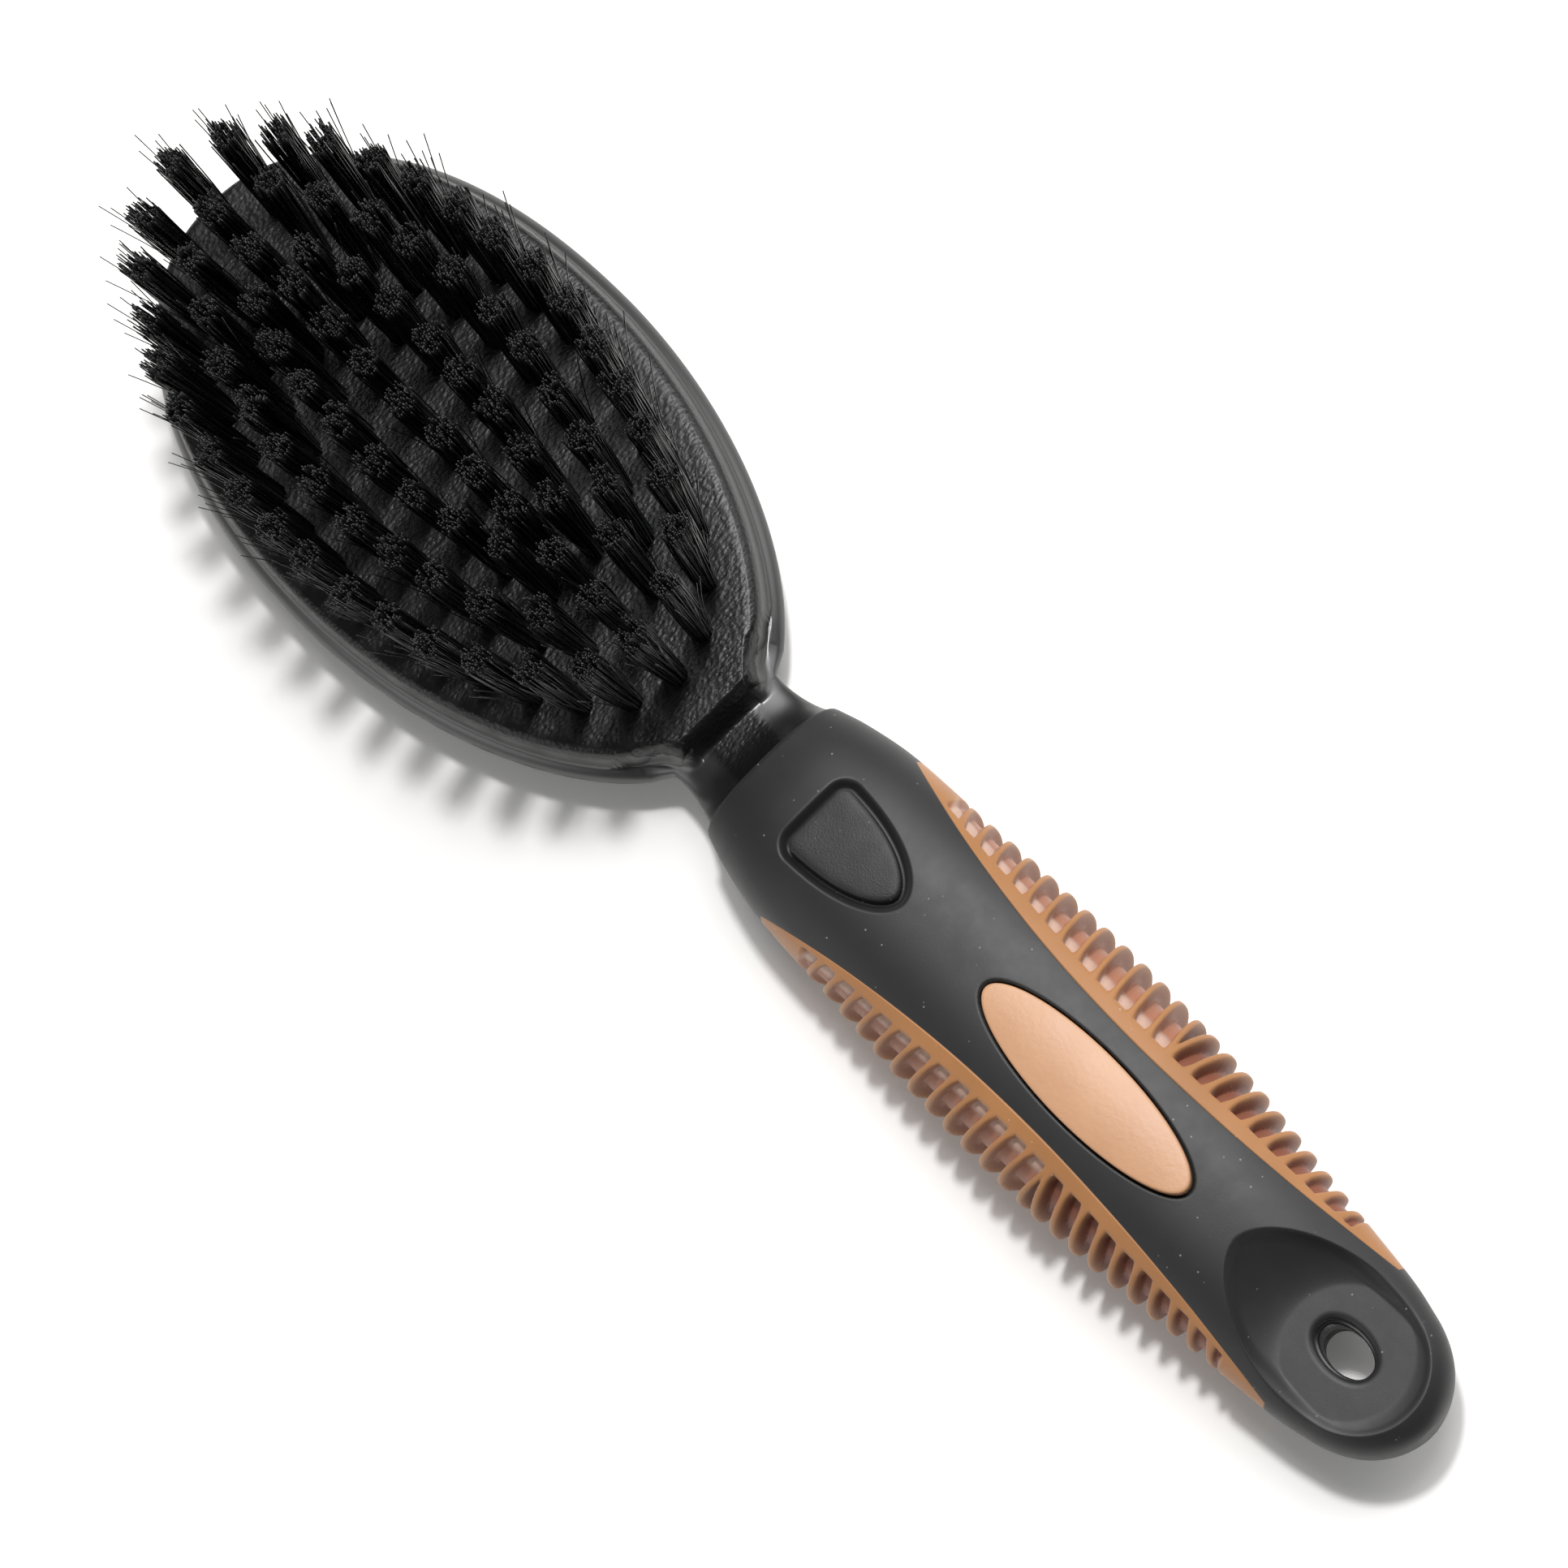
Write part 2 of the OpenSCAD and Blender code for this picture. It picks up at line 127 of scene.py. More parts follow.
def oval(angle, w, h, p=ROUNDNESS):
    c, s = np.cos(angle), np.sin(angle)
    return w * np.sign(c) * np.abs(c) ** (2 / p), h * np.sign(s) * np.abs(s) ** (2 / p)


def angle_at(y, w, p=ROUNDNESS):
    return np.arccos(np.minimum(1, np.abs(y) / w) ** (p / 2))


def share(x):
    return (x - COLLAR_X) / HANDLE_L


def tail_end(x):
    u = np.maximum(0, (x - TAIL_X + TAIL_ROUND) / TAIL_ROUND)
    return np.sqrt(np.maximum(1e-5, 1 - (0.985 * u) ** 2))


def half_w(x):
    return curve(HANDLE_HALF_W, share(x)) * tail_end(x)


def mid_z(x):
    return (curve(HANDLE_TOP, share(x)) + curve(HANDLE_BOTTOM, share(x))) / 2


def half_h(x):
    return (curve(HANDLE_TOP, share(x)) - curve(HANDLE_BOTTOM, share(x))) / 2 * np.sqrt(tail_end(x))


def side_room(x):
    return np.maximum(0.25, half_w(x) - curve(STRIP_EDGE, share(x)))


def head_outline(inset, angles):
    """Outline of the head at angles from the tail side, drawn in by an inset."""
    nose = np.cos(angles) < 0
    x_n, y_n = oval(angles, NOSE_L - inset, HEAD_W - inset, 2.2)
    x_t, y_t = oval(angles, NECK_SIDE_L - inset, HEAD_W - inset, 1.9)
    return HEAD_X + np.where(nose, x_n, x_t), np.where(nose, y_n, y_t)


def signed_distance(points, outline):
    """Distance from each point to a closed outline, negative inside."""
    a = outline
    d = np.roll(outline, -1, axis=0) - a
    rel = points[:, None, :] - a[None]
    t = np.clip((rel * d).sum(2) / (d * d).sum(1), 0, 1)
    near = np.linalg.norm(rel - t[..., None] * d, axis=2).min(1)
    ay, by = a[:, 1], np.roll(a[:, 1], -1)
    crosses = (ay[None] > points[:, 1:2]) != (by[None] > points[:, 1:2])
    at = a[:, 0] + (points[:, 1:2] - ay) / np.where(by == ay, 1e-9, by - ay) * d[:, 0]
    inside = (crosses & (points[:, 0:1] < at)).sum(1) % 2 == 1
    return np.where(inside, -near, near)


def distance_grid(x, y, outline, reach):
    """signed_distance over a grid, worked out only near the outline."""
    out = np.full(x.shape, 99.0)
    low, high = outline.min(0) - reach, outline.max(0) + reach
    near = (x > low[0]) & (x < high[0]) & (y > low[1]) & (y < high[1])
    points = np.stack([x[near], y[near]], 1)
    out[near] = np.concatenate([signed_distance(c, outline) for c in np.array_split(points, 24)])
    return out


# ---------------------------------------------------------------- meshes
def make_piece(name, verts, faces, mats, nodes, layers=None, face_mats=None, sharp=None, merge=False):
    """Builds a mesh piece from millimetre vertices, rides it on the root and lets it stand for CAD nodes."""
    mesh = bpy.data.meshes.new(name)
    mesh.from_pydata((np.asarray(verts) * MM).tolist(), [], [tuple(map(int, f)) for f in faces])
    for layer, values in (layers or {}).items():
        mesh.attributes.new(layer, "FLOAT", "POINT").data.foreach_set("value", np.asarray(values, np.float32))
    for mat in mats:
        mesh.materials.append(mat)
    if face_mats is not None:
        mesh.polygons.foreach_set("material_index", np.asarray(face_mats, np.int32))
    if merge:
        import bmesh
        bm = bmesh.new()
        bm.from_mesh(mesh)
        bmesh.ops.remove_doubles(bm, verts=bm.verts, dist=1e-6)
        bmesh.ops.dissolve_degenerate(bm, edges=bm.edges, dist=1e-7)
        bmesh.ops.recalc_face_normals(bm, faces=bm.faces)
        bm.to_mesh(mesh)
        bm.free()
    mesh.validate()
    mesh.shade_smooth()
    if sharp:
        mesh.set_sharp_from_angle(angle=math.radians(sharp))
    obj = bpy.data.objects.new(name, mesh)
    bpy.context.scene.collection.objects.link(obj)
    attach(obj, "root")
    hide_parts(*nodes)
    return obj


def ring_faces(rings, n, start=0):
    """Quads between successive closed rings of n points."""
    i, j = np.meshgrid(np.arange(rings - 1), np.arange(n), indexing="ij")
    k = (j + 1) % n
    quads = np.stack([i * n + j, i * n + k, (i + 1) * n + k, (i + 1) * n + j], -1)
    return (quads.reshape(-1, 4) + start).tolist()


def caps(rings, n):
    """Both end polygons of a stack of rings."""
    last = (rings - 1) * n
    return [list(range(n))[::-1], list(range(last, last + n))]


# ---------------------------------------------------------------- materials
class Nodes:
    """A small helper that writes the node tree of one material."""

    def __init__(self, name, **sockets):
        self.mat = bpy.data.materials.new(name)
        self.mat.use_nodes = True
        self.tree = self.mat.node_tree
        self.shader = self.tree.nodes["Principled BSDF"]
        for socket, value in sockets.items():
            self.shader.inputs[socket.replace("_", " ")].default_value = value
        self.place = self.add("ShaderNodeTexCoord").outputs["Object"]

    def add(self, kind, **values):
        node = self.tree.nodes.new(kind)
        for key, value in values.items():
            if key in node.inputs.keys() or key.replace("_", " ") in node.inputs.keys():
                self.put(node.inputs[key if key in node.inputs.keys() else key.replace("_", " ")], value)
            else:
                setattr(node, key, value)
        return node

    def put(self, socket, value):
        if isinstance(value, bpy.types.NodeSocket):
            self.tree.links.new(value, socket)
        else:
            socket.default_value = value

    def math(self, operation, a, b=0.5, clamp=False):
        node = self.tree.nodes.new("ShaderNodeMath")
        node.operation = operation
        node.use_clamp = clamp
        self.put(node.inputs[0], a)
        self.put(node.inputs[1], b)
        return node.outputs[0]

    def between(self, value, low, high, to_low=0.0, to_high=1.0):
        node = self.tree.nodes.new("ShaderNodeMapRange")
        node.interpolation_type = "SMOOTHSTEP"
        for i, v in enumerate((value, low, high, to_low, to_high)):
            self.put(node.inputs[i], v)
        return node.outputs[0]

    def mix(self, factor, a, b):
        node = self.tree.nodes.new("ShaderNodeMix")
        node.data_type = "RGBA"
        self.put(node.inputs[0], factor)
        self.put(node.inputs[6], a)
        self.put(node.inputs[7], b)
        return node.outputs[2]

    def noise(self, scale, detail=2.0, place=None):
        node = self.add("ShaderNodeTexNoise", Scale=scale, Detail=detail, Vector=place or self.place)
        return node.outputs["Fac"]

    def cells(self, scale, place=None, feature="F1", output="Distance"):
        node = self.add("ShaderNodeTexVoronoi", feature=feature, Scale=scale, Vector=place or self.place)
        return node.outputs[output]

    def stretch(self, scale, turn=0.0):
        node = self.add("ShaderNodeMapping", Vector=self.place)
        node.inputs["Rotation"].default_value = (0, 0, turn)
        node.inputs["Scale"].default_value = scale
        return node.outputs[0]

    def layer(self, name):
        return self.add("ShaderNodeAttribute", attribute_name=name).outputs["Fac"]

    def bump(self, height, depth, strength=1.0, under=None):
        node = self.add("ShaderNodeBump", Height=height, Distance=depth, Strength=strength)
        if under is not None:
            self.put(node.inputs["Normal"], under)
        return node.outputs["Normal"]

    def finish(self, color, roughness, normal):
        self.put(self.shader.inputs["Base Color"], color)
        self.put(self.shader.inputs["Roughness"], roughness)
        self.put(self.shader.inputs["Normal"], normal)
        return self.mat


def rgb(r, g, b):
    """Linear colour from 8-bit sRGB values."""
    return tuple(((c / 255 + 0.055) / 1.055) ** 2.4 if c > 10 else c / 255 / 12.92 for c in (r, g, b)) + (1.0,)


def dust(n, scale=650.0, size=0.1):
    """Sparse pale specks of dust."""
    near = n.between(n.cells(scale), size * 0.6, size, 1.0, 0.0)
    tone = n.add("ShaderNodeSeparateColor", Color=n.cells(scale, output="Color")).outputs[0]
    return n.math("MULTIPLY", near, n.between(tone, 0.45, 0.8))


def head_plastic():
    n = Nodes("head_plastic", Coat_Weight=0.06, Coat_Roughness=0.3)
    grain = n.layer("grain")
    n.put(n.shader.inputs["Specular IOR Level"], n.between(grain, 0.0, 1.0, 0.9, 0.3))
    slant = n.stretch((1.0, 0.62, 1.0), math.radians(45))
    crease = n.cells(2300.0, slant, "SMOOTH_F1")
    height = n.math("ADD", n.math("MULTIPLY", crease, 0.9), n.math("MULTIPLY", n.noise(2600.0, 3.0, slant), 0.7))
    pores = n.bump(n.math("MULTIPLY", height, grain), 0.0001, 0.9)
    satin = n.bump(n.noise(5200.0, 2.0), 0.000006, 0.5, pores)
    patch = n.noise(60.0, 3.0)
    color = n.mix(n.between(patch, 0.3, 0.7), rgb(9, 9, 10), rgb(15, 15, 16))
    roughness = n.math("ADD", n.between(grain, 0.0, 1.0, 0.32, 0.32), n.math("MULTIPLY", patch, 0.08))
    return n.finish(color, roughness, satin)


def cover_plastic():
    n = Nodes("cover_plastic", Specular_IOR_Level=0.5)
    height = n.math("ADD", n.math("MULTIPLY", n.cells(1250.0, None, "SMOOTH_F1"), 0.8), n.noise(1500.0, 3.0))
    color = n.mix(n.noise(70.0, 3.0), rgb(20, 20, 21), rgb(29, 29, 30))
    return n.finish(color, n.math("ADD", n.math("MULTIPLY", n.noise(50.0), 0.1), 0.32), n.bump(height, 0.0001, 0.8))


def soft_touch():
    n = Nodes("soft_touch", Specular_IOR_Level=0.45, Sheen_Weight=0.05, Sheen_Roughness=0.6)
    cloud = n.noise(38.0, 4.0)
    base = n.mix(n.between(cloud, 0.3, 0.7), rgb(15, 15, 16), rgb(20, 20, 21))
    specks = dust(n)
    color = n.mix(n.math("MULTIPLY", specks, 0.5), base, rgb(150, 150, 148))
    fine = n.bump(n.noise(3800.0, 2.0), 0.00001, 0.6)
    rub = n.noise(420.0, 3.0)
    return n.finish(color, n.math("ADD", n.math("MULTIPLY", rub, 0.1), 0.46), n.bump(rub, 0.000012, 0.5, fine))


def grip_rubber():
    n = Nodes("grip_rubber", Specular_IOR_Level=0.35, Sheen_Weight=0.15, Sheen_Roughness=0.5)
    cloud = n.between(n.noise(90.0, 4.0), 0.3, 0.7)
    body = n.mix(cloud, rgb(149, 101, 57), rgb(158, 108, 63))
    walls = n.mix(n.layer("deep"), body, rgb(150, 98, 72))
    # Painted shade: the deep pockets of the tail group are coloured darker brown to stand in for their shadow.
    walls = n.mix(n.layer("painted_pit_shade"), walls, rgb(120, 66, 42))
    color = n.mix(n.layer("pad"), walls, rgb(176, 146, 130))
    specks = n.math("MULTIPLY", dust(n, 700.0, 0.09), 0.35)
    color = n.mix(specks, color, rgb(225, 214, 205))
    roughness = n.math("ADD", n.math("MULTIPLY", n.noise(300.0), 0.12), 0.44)
    return n.finish(color, roughness, n.bump(n.noise(2600.0, 2.0), 0.000014, 0.6))


def panel_plastic():
    n = Nodes("panel_plastic", Specular_IOR_Level=0.35)
    color = n.mix(n.between(n.noise(300.0, 4.0), 0.35, 0.65), rgb(26, 26, 27), rgb(32, 32, 34))
    color = n.mix(n.math("MULTIPLY", dust(n), 0.3), color, rgb(150, 150, 150))
    grain = n.bump(n.cells(4200.0), 0.00003, 0.7)
    return n.finish(color, n.math("ADD", n.math("MULTIPLY", n.noise(500.0), 0.1), 0.48), grain)


def inlay_plastic():
    n = Nodes("inlay_plastic", Specular_IOR_Level=0.5)
    color = n.mix(n.between(n.noise(120.0, 4.0), 0.3, 0.7), rgb(178, 133, 99), rgb(184, 139, 104))
    color = n.mix(n.math("MULTIPLY", dust(n, 900.0, 0.07), 0.3), color, rgb(240, 225, 210))
    peel = n.bump(n.noise(1300.0, 2.0), 0.00004, 0.7)
    fine = n.bump(n.noise(3400.0, 2.0), 0.000012, 0.5, peel)
    return n.finish(color, n.math("ADD", n.math("MULTIPLY", n.noise(240.0), 0.1), 0.4), fine)


def nylon(name, low, high, roughness):
    n = Nodes(name, Specular_IOR_Level=0.5)
    color = n.mix(n.between(n.noise(900.0, 2.0), 0.35, 0.65), low, high)
    along = n.bump(n.noise(2500.0, 2.0), 0.000008, 0.6)
    return n.finish(color, n.math("ADD", n.math("MULTIPLY", n.noise(500.0), 0.15), roughness), along)


def anchor_wire():
    n = Nodes("anchor_wire", Metallic=1.0)
    brushed = n.noise(3000.0, 3.0, n.stretch((0.08, 1.0, 1.0)))
    color = n.mix(brushed, rgb(150, 148, 146), rgb(190, 188, 184))
    return n.finish(color, n.between(brushed, 0.0, 1.0, 0.22, 0.4), n.bump(brushed, 0.00001, 0.5))


# ---------------------------------------------------------------- head
def head_skin():
    """Flange, groove, bristle platform and neck as one skin, lofted from nose to collar."""
    arc_end = math.radians(25)
    angles = np.linspace(math.pi, arc_end, 170)
    fx, fy = head_outline(0, angles)
    px, py = head_outline(4.0 - 1.0 * smooth(np.degrees(angles) / 60 - 1.6), angles)
    # From the arc, both outlines turn into the neck: the flange through a fillet, the platform into its tongue.
    u = np.linspace(0, 1, 71)[1:]
    v = 1 - u

    def join(start, way_in, end, way_out):
        return [v * v * (1 + 2 * u) * start[k] + u * u * (3 - 2 * u) * end[k]
                + u * v * (v * way_in[k] - u * way_out[k]) for k in (0, 1)]

    neck_from = -13.0
    steer = (fx[-1] - fx[-4], fy[-1] - fy[-4])
    reach = 1.9 / math.hypot(*steer)
    fjx, fjy = join((fx[-1], fy[-1]), (steer[0] * reach, steer[1] * reach),
                    (neck_from, float(curve(NECK_HALF_W, neck_from))), (1.5, -0.05))
    steer = (px[-1] - px[-4], py[-1] - py[-4])
    reach = 5.2 / math.hypot(*steer)
    pjx, pjy = join((px[-1], py[-1]), (steer[0] * reach, steer[1] * reach), (neck_from, 5.0), (3.4, -0.5))
    nx = np.linspace(neck_from, COLLAR_X + 0.1, 50)[1:]
    fx, fy = np.concatenate([fx, fjx, nx]), np.concatenate([fy, fjy, curve(NECK_HALF_W, nx)])
    px, py = np.concatenate([px, pjx, nx]), np.concatenate([py, pjy, np.linspace(5.0, 5.6, 50)[1:]])
    fy[0] = py[0] = 0
    count = len(fx)

    edge_y = np.maximum(fy, 1e-3)[:, None]

    def neck_z(x, y, side):
        top, low = curve(NECK_TOP, np.maximum(x, -28)), curve(NECK_BOTTOM, np.maximum(x, -28))
        bulge = np.maximum(0, 1 - np.minimum(1, np.abs(y) / edge_y) ** ROUNDNESS) ** (1 / ROUNDNESS)
        return (top + low) / 2 + side * (top - low) / 2 * bulge

    def platform_top(x, y):
        """Height of the platform, and of the slope that takes it down into the neck."""
        return PLATFORM_Z + (neck_z(x, y, 1) - PLATFORM_Z) * smooth((x + 14.3) / 2.9)

    def tongue_edge(x):
        return 6.4 + 0.6 * np.maximum(0, -12.0 - x) + 0.77 * np.maximum(0, -15.5 - x)

    # Across the rim: inset from the flange's outline, and height.
    under = np.array([(3.2, 6.2), (1.4, 6.2), (0.45, 6.2), (0.2, 6.35), (0.05, 6.55)])
    rim = np.array([(0, 6.8), (0.02, 7.1), (0.13, 7.45), (0.34, 7.8), (0.62, 8.12), (0.95, 8.4), (1.25, 8.62), (1.45, 8.82),
                    (1.6, 9.12), (1.7, 9.7), (1.8, 10.5), (1.92, 11.4), (2.08, 12.2), (2.3, 12.85), (2.65, 13.28),
                    (3.2, 13.52), (4.0, 13.6)])
    run = np.concatenate([[0], np.cumsum(np.hypot(*np.diff(rim, axis=0).T))])
    at = np.linspace(0, run[-1], 46)
    rim = np.stack([np.interp(at, run, rim[:, 0]), np.interp(at, run, rim[:, 1])], 1)
    profile = np.concatenate([under, rim])
    k, low_k = len(profile), len(under)
    inset, level = profile[:, 0] / 4.0, profile[:, 1]
    groove_z = 8.7
    walled = (profile[:, 0] > 1.3) & (np.arange(k) >= low_k)
    wall = np.where(walled, (level - groove_z) / (PLATFORM_Z - groove_z), 0).clip(0, 1)
    base = np.where(walled, groove_z, level)
    turn = np.concatenate([np.linspace(-66, -6, low_k), np.linspace(0, 60, k - low_k)])
    width_share = np.cos(np.radians(turn)) ** (2 / ROUNDNESS)

    beta = smooth((fx + 15.6) / 2.8)[:, None]
    left = np.zeros((count, k, 3))
    part_neck = (1 - width_share)[None] / (1 - py / np.maximum(fy, 1e-6))[:, None].clip(0.05)
    part = inset[None] * (1 - beta) + np.minimum(part_neck, 1) * beta
    part[:, -1] = 1
    left[..., 0] = fx[:, None] + (px - fx)[:, None] * part
    left[..., 1] = fy[:, None] + (py - fy)[:, None] * part
    x, y = left[..., 0], left[..., 1]
    side = np.where(np.arange(k) >= low_k, 1, -1)
    melt = smooth((x + 16.2) / 3.8)
    ground = base * (1 - melt) + neck_z(x, y, side) * melt
    into = ((tongue_edge(x) - y) / 1.25).clip(0, 1)
    tongue = np.minimum(1, 0.72 * smooth(into / 0.35) + 0.28 * np.sqrt(1 - (1 - into) ** 2)) * (side > 0)
    raised = wall + (np.minimum(wall, tongue) - wall) * smooth((x + 22.0) / 3.0)
    raised += (tongue - raised) * smooth((x + 16.4) / 1.6)
    left[..., 2] = ground + (platform_top(x, y) - ground) * raised
    # Fillets where the flange and the platform run out into the neck.
    ease = (0.9 * smooth((x + 18.5) / 2.0) * smooth((-11.0 - x) / 1.5))[1:-1, 1:-1]
    for _ in range(45):
        z = left[..., 2]
        mean = (z[:-2, 1:-1] + z[2:, 1:-1] + z[1:-1, :-2] + z[1:-1, 2:]) / 4
        z[1:-1, 1:-1] += ease * (mean - z[1:-1, 1:-1])
    right = left[:, ::-1] * np.array([1, -1, 1])
    across, below = 90, 24
    s = np.linspace(1, -1, across)[1:-1]
    top = np.zeros((count, across - 2, 3))
    top[..., 0] = left[:, -1, 0][:, None]
    top[..., 1] = left[:, -1, 1][:, None] * s
    edge_gap = (left[:, -1, 2] - platform_top(left[:, -1:, 0], left[:, -1:, 1])[:, 0])[:, None]
    top[..., 2] = platform_top(top[..., 0], top[..., 1]) + edge_gap * np.abs(s) ** 8
    s = np.linspace(-1, 1, below)[1:-1]
    low = np.zeros((count, below - 2, 3))
    low[..., 0] = left[:, 0, 0][:, None]
    low[..., 1] = left[:, 0, 1][:, None] * s
    low[..., 2] = JOINT_Z * (1 - beta) + neck_z(low[..., 0], low[..., 1], -1) * beta
    rings = np.concatenate([left, top, right, low], 1)
    n = rings.shape[1]
    shoulder = smooth((raised - 0.5) / 0.25)
    grain = np.concatenate([shoulder, np.ones(top.shape[:2]), shoulder[:, ::-1], np.zeros(low.shape[:2])], 1)
    x, y = rings[..., 0], np.abs(rings[..., 1])
    neck_part = smooth((x + 13.6) / 2.0)
    grain = grain * (1 - neck_part) + neck_part * smooth((4.6 - y) / 1.6) * (rings[..., 2] > 9.5)
    verts = rings.reshape(-1, 3)
    faces = ring_faces(count, n) + [caps(count, n)[1]]
    # The core's own edge shows inside the hanging hole, a little further in than the sleeve's.
    turns = np.linspace(0, 2 * math.pi, 97)[:-1]
    eye = []
    for grow, z in ((0.5, 7.2), (0.1, 7.2), (0, 7.4), (0, 11.2), (0.1, 11.5), (0.5, 11.6)):
        ex, ey = stadium(grow, turns)
        eye.append(np.stack([ex, ey, np.full(len(turns), z)], 1))
    start = len(verts)
    verts = np.concatenate([verts, *eye])
    faces += ring_faces(len(eye), len(turns), start)
    grain = np.concatenate([grain.ravel(), np.zeros(len(eye) * len(turns))])
    return make_piece("head_skin", verts, faces, [head_plastic()], ["head_block"],
                      {"grain": grain}, merge=True)


def stadium(grow, turns):
    """Outline of the hanging hole at angles around it."""
    r = EYE_W / 2 + grow
    run = (EYE_L - EYE_W) / 2
    return EYE_X + (r + run) * np.cos(turns), r * np.sign(np.sin(turns)) * np.abs(np.sin(turns)) ** 0.88


def back_cover():
    levels = [(-6.2, 1), (-5, 1.3), (-3.6, 2.4), (-2.2, 4.4), (-1.1, 7), (-0.4, 9.6), (0, 13)]
    z = -np.concatenate([np.linspace(-6.2, -1.1, 26), np.linspace(-1.0, -0.4, 8), np.linspace(-0.36, 0, 10)])
    insets = curve(levels, -z)
    angles = np.linspace(0, 2 * math.pi, 241)[:-1]
    rings = [(4.0, 6.15)] + list(zip(insets, np.where(z > 6.1, 6.15, z)))
    rings += [(16, 0), (20, 0), (24, 0), (28.5, 0)]
    verts = []
    near_neck = smooth((55 - np.abs(np.degrees((angles + math.pi) % (2 * math.pi) - math.pi))) / 35)
    for inset, level in rings:
        x, y = head_outline(inset + 2.4 * near_neck * (1 - inset / 30), angles)
        verts.append(np.stack([x, y, np.full(len(x), level)], 1))
    verts = np.concatenate(verts)
    faces = ring_faces(len(rings), len(angles)) + caps(len(rings), len(angles))
    return make_piece("back_cover_shell", verts, faces, [cover_plastic()], ["back_cover"], merge=True)


# ---------------------------------------------------------------- handle
def shield(grow):
    """Outline of the thumb panel: straight toward the head, tapering to a round nose."""
    x0 = panel_low[0] - grow
    l = panel_high[0] - panel_low[0] + 2 * grow
    b = panel_high[1] + grow
    corner = 1.5 + 0.4 * grow
    t = np.sin(np.linspace(math.pi / 2, 0.12, 60))
    side = np.stack([x0 + l * t, b * (1 - t ** 2.3) ** 0.56], 1)
    q = np.linspace(0, math.pi / 2, 14)
    turn = np.stack([x0 + corner - corner * np.sin(q), b - corner + corner * np.cos(q)], 1)
    half = np.concatenate([side, turn])
    return np.concatenate([half, (half * (1, -1))[:0:-1]])


def inlay_outline(grow, n=160):
    a = np.linspace(0, 2 * math.pi, n + 1)[:-1]
    centre = (inlay_low + inlay_high) / 2
    half = (inlay_high - inlay_low) / 2 + grow
    return np.stack([centre[0] + half[0] * np.cos(a), centre[1] + half[1] * np.sin(a)], 1)


def scoop_outline():
    """Outline of the dished tail: a rounded point toward the head, round about the hole."""
    x0, c, r = 83.0, 103.2, 9.9
    x = np.linspace(x0, c, 90)
    w = r * np.maximum(0, 1 - (1 - (x - x0) / (c - x0)) ** 2.3) ** 0.62
    a = np.linspace(math.pi / 2, 0, 50)[1:]
    x, w = np.concatenate([x, c + (r + 0.1) * np.cos(a)]), np.concatenate([w, r * np.sin(a)])
    return np.concatenate([np.stack([x, w], 1), np.stack([x, -w], 1)[-2:0:-1]])


def sleeve_dips(x, y, z):
    """How far the sleeve's top lies below its plain surface: panel groove, inlay seat, dished tail, hole mouth."""
    dip = np.zeros(x.shape)
    s = distance_grid(x, y, shield(0), 3)
    dip = np.maximum(dip, 1.35 * (1 - smooth((s - 0.25) / 1.25)))
    s = distance_grid(x, y, inlay_outline(0), 2)
    lip = 0.35 * (1 - np.sqrt(1 - np.clip((0.6 - s) / 0.42, 0, 1) ** 2))
    dip = np.maximum(dip, np.where(s < 0.18, z - 18.6, np.where(s < 0.6, lip, 0)))
    s = -distance_grid(x, y, scoop_outline(), 1)
    rho = np.hypot(x - EYE_X - 0.6, y)
    ramp = np.clip((rho - 8.3) / 10.6, 0, 1)
    floor = SEAT_Z + 5.3 * ramp ** 1.45
    wall = 1.3 + 0.9 * smooth((x - 88) / 10) * (1 - 0.5 * smooth((x - 104) / 5))
    crisp = 1 - (1 - np.clip(s / wall, 0, 1)) ** 2.2
    soft = smooth((s + 0.5) / (wall + 0.5))
    dip = np.maximum(dip, np.maximum(0, z - floor) * (crisp + (soft - crisp) * smooth((x - 92) / 9)))
    mouth = distance_grid(x, y, np.stack(stadium(0.4, np.linspace(0, 2 * math.pi, 121)[:-1]), 1), 2)
    dip += 0.65 * (1 - np.sqrt(1 - np.clip((0.95 - mouth) / 0.95, 0, 1) ** 2))
    return dip


def section(x, from_angle, to_angle, steps, w, h):
    """Points spaced evenly along a stretch of the handle's section, for every station."""
    fine = from_angle[:, None] + (to_angle - from_angle)[:, None] * np.linspace(0, 1, 500)
    y, z = oval(fine, w[:, None], h[:, None])
    run = np.concatenate([np.zeros((len(x), 1)), np.cumsum(np.hypot(np.diff(y), np.diff(z)), 1)], 1)
    out = np.zeros((len(x), steps, 3))
    out[..., 0] = x[:, None]
    for i in range(len(x)):
        at = np.linspace(0, run[i, -1], steps)
        out[i, :, 1] = np.interp(at, run[i], y[i])
        out[i, :, 2] = np.interp(at, run[i], z[i])
    out[..., 2] += mid_z(x)[:, None]
    return out


